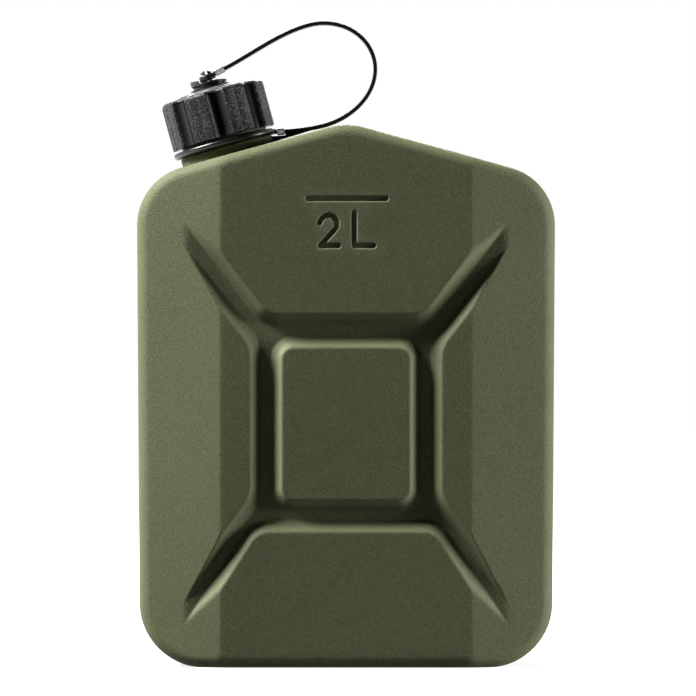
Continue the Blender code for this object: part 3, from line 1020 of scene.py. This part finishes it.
class Graph:
    """A node tree, with short calls that add nodes and feed their sockets."""

    def __init__(self, tree):
        self.tree = tree

    def add(self, kind, **values):
        node = self.tree.nodes.new(kind)
        for name, value in values.items():
            setattr(node, name, value)
        return node

    def feed(self, socket, value):
        """Gives a socket another node's output, or else a number, a place or a colour."""
        if isinstance(value, bpy.types.NodeSocket):
            self.tree.links.new(value, socket)
        else:
            socket.default_value = value

    def maths(self, operation, first, second):
        """The result of a sum on two values."""
        node = self.add("ShaderNodeMath", operation=operation)
        self.feed(node.inputs[0], first)
        self.feed(node.inputs[1], second)
        return node.outputs["Value"]

    def vectors(self, operation, first, second=None):
        """The outputs of a vector sum on one or two values."""
        node = self.add("ShaderNodeVectorMath", operation=operation)
        self.feed(node.inputs[0], first)
        if second is not None:
            self.feed(node.inputs[1], second)
        return node.outputs

    def spread(self, source, before, after, kind="LINEAR"):
        """The source with its range before stretched to another after, and held at its ends."""
        node = self.add("ShaderNodeMapRange", interpolation_type=kind)
        for name, value in zip(("From Min", "From Max", "To Min", "To Max"), (*before, *after)):
            self.feed(node.inputs[name], value)
        self.feed(node.inputs["Value"], source)
        return node.outputs["Result"]

    def rays(self):
        """Whether a ray comes from the camera, and whether it comes by gloss or through glass."""
        path = self.add("ShaderNodeLightPath").outputs
        reflected = self.maths("MAXIMUM", path["Is Glossy Ray"], path["Is Transmission Ray"])
        return path["Is Camera Ray"], reflected


class Finish(Graph):
    """A material's node tree, with what the materials here have in common."""

    def __init__(self, name):
        self.material = bpy.data.materials.new(name)
        self.material.use_nodes = True
        super().__init__(self.material.node_tree)
        self.shader = self.tree.nodes["Principled BSDF"]
        self.place = self.add("ShaderNodeTexCoord").outputs["Object"]

    def set(self, **values):
        """Feeds the shader's inputs, named with _ for each space, and gives the material back."""
        for name, value in values.items():
            self.feed(self.shader.inputs[name.replace("_", " ")], value)
        return self.material

    def noise(self, scale, detail=3.0, roughness=0.55):
        node = self.add("ShaderNodeTexNoise")
        self.feed(node.inputs["Vector"], self.place)
        self.feed(node.inputs["Scale"], scale)
        self.feed(node.inputs["Detail"], detail)
        self.feed(node.inputs["Roughness"], roughness)
        return node.outputs["Fac"]

    def patches(self, scale, detail=3.0, after=(0, 1)):
        """Soft noise with its own range stretched to another."""
        return self.spread(self.noise(scale, detail), noise_range, after)

    def mixed(self, factor, first, second):
        """A colour between two, each a tuple or another node's output."""
        node = self.add("ShaderNodeMix", data_type="RGBA")
        self.feed(node.inputs["Factor"], factor)
        for name, value in (("A", first), ("B", second)):
            socket = next(s for s in node.inputs if s.name == name and s.type == "RGBA")
            self.feed(socket, (*value, 1) if isinstance(value, tuple) else value)
        return next(s for s in node.outputs if s.type == "RGBA")

    def paler_edges(self, colour, before, most, paler):
        """The colour with edges that stand out turned paler, at most by that share."""
        pointed = self.add("ShaderNodeNewGeometry").outputs["Pointiness"]
        return self.mixed(self.spread(pointed, before, (0, most)), colour, paler)

    def bump(self, height, distance, strength, below=None):
        node = self.add("ShaderNodeBump")
        self.feed(node.inputs["Distance"], distance)
        self.feed(node.inputs["Strength"], strength)
        self.feed(node.inputs["Height"], height)
        if below:
            self.feed(node.inputs["Normal"], below)
        return node.outputs["Normal"]

    def from_axis(self):
        """Distance of the surface from the neck's axis, and its height along it."""
        arm = self.vectors("SUBTRACT", self.place, neck_foot)["Vector"]
        across = self.vectors("CROSS_PRODUCT", arm, neck_axis)["Vector"]
        return self.vectors("LENGTH", across)["Value"], self.vectors("DOT_PRODUCT", arm, neck_axis)["Value"]


def olive_moulding():
    """Matt olive polyethylene with the mould's fine grain and faint mottling, a painted sheen on sharp
    edges, and a painted highlight below the recess crests and along the mark's rims.
    """
    graph = Finish("olive_moulding_fine")
    colour = graph.mixed(graph.patches(scale=14, detail=2), olive_deep, olive_pale)
    grain = graph.noise(scale=2200, detail=1, roughness=0.6)
    colour = graph.mixed(graph.spread(grain, (0.25, 0.50), (0.70, 0)), colour, olive_pit)
    colour = graph.mixed(graph.spread(grain, (0.50, 0.75), (0, 0.60)), colour, olive_speck)
    # Painted sheen: sharp edges and crests turned paler where gloss would catch the lamps
    colour = graph.paler_edges(colour, (0.54, 0.62), 0.50, olive_edge_sheen)
    # Painted highlight, read from the strip stored on the body below the crests and along the mark's rims
    painted_highlight = graph.add("ShaderNodeAttribute", attribute_name="painted_highlight").outputs["Fac"]
    coarse = graph.bump(graph.noise(scale=500, detail=2), distance=0.00006, strength=0.8)
    return graph.set(
        Base_Color=graph.mixed(painted_highlight, colour, olive_highlight),
        Roughness=graph.patches(scale=60, after=(0.55, 0.66)),
        Normal=graph.bump(grain, distance=0.00016, strength=1.0, below=coarse),
        Specular_IOR_Level=0.12,
    )


def black_grained():
    """The cap's black plastic: spark-eroded grain on the lobes and the top, smooth in the grooves."""
    graph = Finish("black_moulding_grained")
    reach, height = graph.from_axis()
    on_lobe = graph.spread(reach, [cap_radius - inside for inside in lobe_grain], (0, 1))
    on_top = graph.spread(height, [cap_edge_height - below for below in top_grain], (0, 1))
    grained = graph.maths("MAXIMUM", on_lobe, on_top)
    grain = graph.noise(scale=1700, detail=1, roughness=0.7)
    speck = graph.maths("MULTIPLY", grained, graph.spread(grain, (0.50, 0.70), (0, 1)))
    return graph.set(
        Base_Color=graph.mixed(speck, cap_black, cap_speck),
        Roughness=graph.spread(grained, (0, 1), (0.18, 0.52)),
        Normal=graph.bump(graph.maths("MULTIPLY", grained, grain), distance=0.00016, strength=1.0),
        Specular_IOR_Level=0.16,
    )


def black_smooth(name, gloss):
    """Plain black plastic with faint flow marks and slightly worn edges."""
    graph = Finish(name)
    colour = graph.mixed(graph.patches(scale=60, detail=2), smooth_black, flow_black)
    return graph.set(
        Base_Color=graph.paler_edges(colour, (0.52, 0.62), 0.3, rubbed_black),
        Roughness=graph.patches(scale=300, after=(0.26, 0.34)),
        Normal=graph.bump(graph.noise(scale=900, detail=2), distance=0.00001, strength=0.8),
        Specular_IOR_Level=gloss,
    )


def seal_rubber():
    """Dull black rubber with a fine, soft grain."""
    graph = Finish("seal_rubber_fine")
    return graph.set(
        Base_Color=graph.mixed(graph.patches(scale=400, detail=2), rubber_deep, rubber_pale),
        Roughness=0.78,
        Normal=graph.bump(graph.noise(scale=2500, detail=2), distance=0.00003, strength=0.6),
    )


def clip_steel():
    """Bright tinned steel with a fine grain and a few dull spots."""
    graph = Finish("clip_steel_fine")
    spots = graph.spread(graph.noise(scale=900, detail=3), (0.45, 0.75), (0, 1))
    return graph.set(
        Base_Color=graph.mixed(spots, steel_bright, steel_dull),
        Metallic=1.0,
        Roughness=graph.patches(scale=700, after=(0.20, 0.36)),
        Normal=graph.bump(graph.noise(scale=3000, detail=1), distance=0.00001, strength=0.5),
    )


# Studio


def make_camera():
    """The photograph's viewpoint, level with the middle of the can."""
    data = bpy.data.cameras.new("camera")
    data.sensor_width = sensor_width
    data.lens = sensor_width * camera_distance / (metres_per_pixel * frame_size)
    camera = add_object("camera", data)
    camera.location = (camera_x, -camera_distance, camera_height)
    camera.rotation_euler = (quarter, 0, 0)
    bpy.context.scene.camera = camera


def make_lamp(name, turn, rise, energy):
    """A soft box that looks at the can's middle, from a turn clockwise from the left and a rise."""
    data = bpy.data.lights.new(name, "AREA")
    data.shape = "SQUARE"
    data.size = lamp_size
    data.energy = energy
    direction = Vector((-math.cos(turn) * math.cos(rise), math.sin(turn) * math.cos(rise), math.sin(rise)))
    lamp = add_object(name, data)
    lamp.location = Vector((0, 0, camera_height)) + direction * lamp_distance
    lamp.rotation_euler = (-direction).to_track_quat("-Z", "Y").to_euler()
    lamp.visible_camera = False


def make_world():
    """A white background to the eye, and behind the can in gloss and glass; a dim studio elsewhere."""
    world = bpy.data.worlds.new("studio")
    bpy.context.scene.world = world
    world.use_nodes = True
    graph = Graph(world.node_tree)
    to_eye, reflected = graph.rays()
    direction = graph.add("ShaderNodeSeparateXYZ")
    graph.feed(direction.inputs[0], graph.add("ShaderNodeTexCoord").outputs["Generated"])
    behind = graph.spread(direction.outputs["Y"], (0, behind_reach), (0, 1), "SMOOTHSTEP")
    bright = graph.maths("MAXIMUM", to_eye, graph.maths("MULTIPLY", reflected, behind))
    background = graph.tree.nodes["Background"]
    graph.feed(background.inputs["Color"], white)
    graph.feed(background.inputs["Strength"], graph.spread(bright, (0, 1), (studio_fill, 1)))


def make_floor():
    """A pale floor that looks white and keeps the can's shadow."""
    ends = (-floor_half, floor_half)
    floor = mesh_object("floor", [(x, y, 0) for y in ends for x in ends], [(0, 1, 3, 2)])
    graph = Finish("floor_white")
    seen = graph.maths("MAXIMUM", *graph.rays())
    distance = graph.vectors("LENGTH", graph.place)["Value"]
    glow = graph.spread(distance, (glow_near, glow_far), (floor_glow, 1))
    material = graph.set(
        Base_Color=graph.spread(seen, (0, 1), (floor_throw, floor_pale)),
        Roughness=1.0,
        Specular_IOR_Level=0.0,
        Emission_Color=white,
        Emission_Strength=graph.maths("MULTIPLY", seen, glow),
    )
    floor.data.materials.append(material)


# Pieces


def dress(piece, material, slot, *nodes):
    """Gives a piece its material and hides the solids that it stands for."""
    piece.data.materials.clear()
    piece.data.materials.append(material)
    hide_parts(*nodes)
    return piece


olive = olive_moulding()
grained = black_grained()
dull = black_smooth("black_moulding_dull", gloss=0.10)
glossy = black_smooth("black_moulding_glossy", gloss=0.30)
rubber = seal_rubber()
steel = clip_steel()

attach(dress(make_can(), olive, "olive_moulding", "can_body"), "can")
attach(dress(make_cap(), grained, "black_moulding", "cap_shell"), "cap")
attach(dress(refined("cap_stud", fitting_edge), glossy, "black_moulding", "cap_stud"), "cap")
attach(dress(refined("cap_seal", soft_edge), rubber, "seal_rubber", "cap_seal"), "seal")
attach(dress(refined("tether_ring", fitting_edge), glossy, "black_moulding", "tether_ring"), "tether")
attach(dress(refined("ring_clip", clip_edge), steel, "clip_steel", "ring_clip"), "tether")
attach(dress(refined("tether_eyelet", soft_edge), glossy, "black_moulding", "tether_eyelet"), "eyelet")
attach(dress(refined("eyelet_clip", clip_edge), steel, "clip_steel", "eyelet_clip"), "eyelet")
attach(dress(refined("swivel_collar", collar_edge), glossy, "black_moulding", "swivel_collar"), "eyelet")
strap = dress(make_strap(), dull, "black_moulding", "tether_strap")
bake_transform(strap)

make_floor()
make_world()
make_camera()
make_lamp("left_lamp", *left_lamp)
make_lamp("right_lamp", *right_lamp)
make_lamp("back_lamp", *back_lamp)
bpy.context.scene.view_settings.view_transform = "Standard"
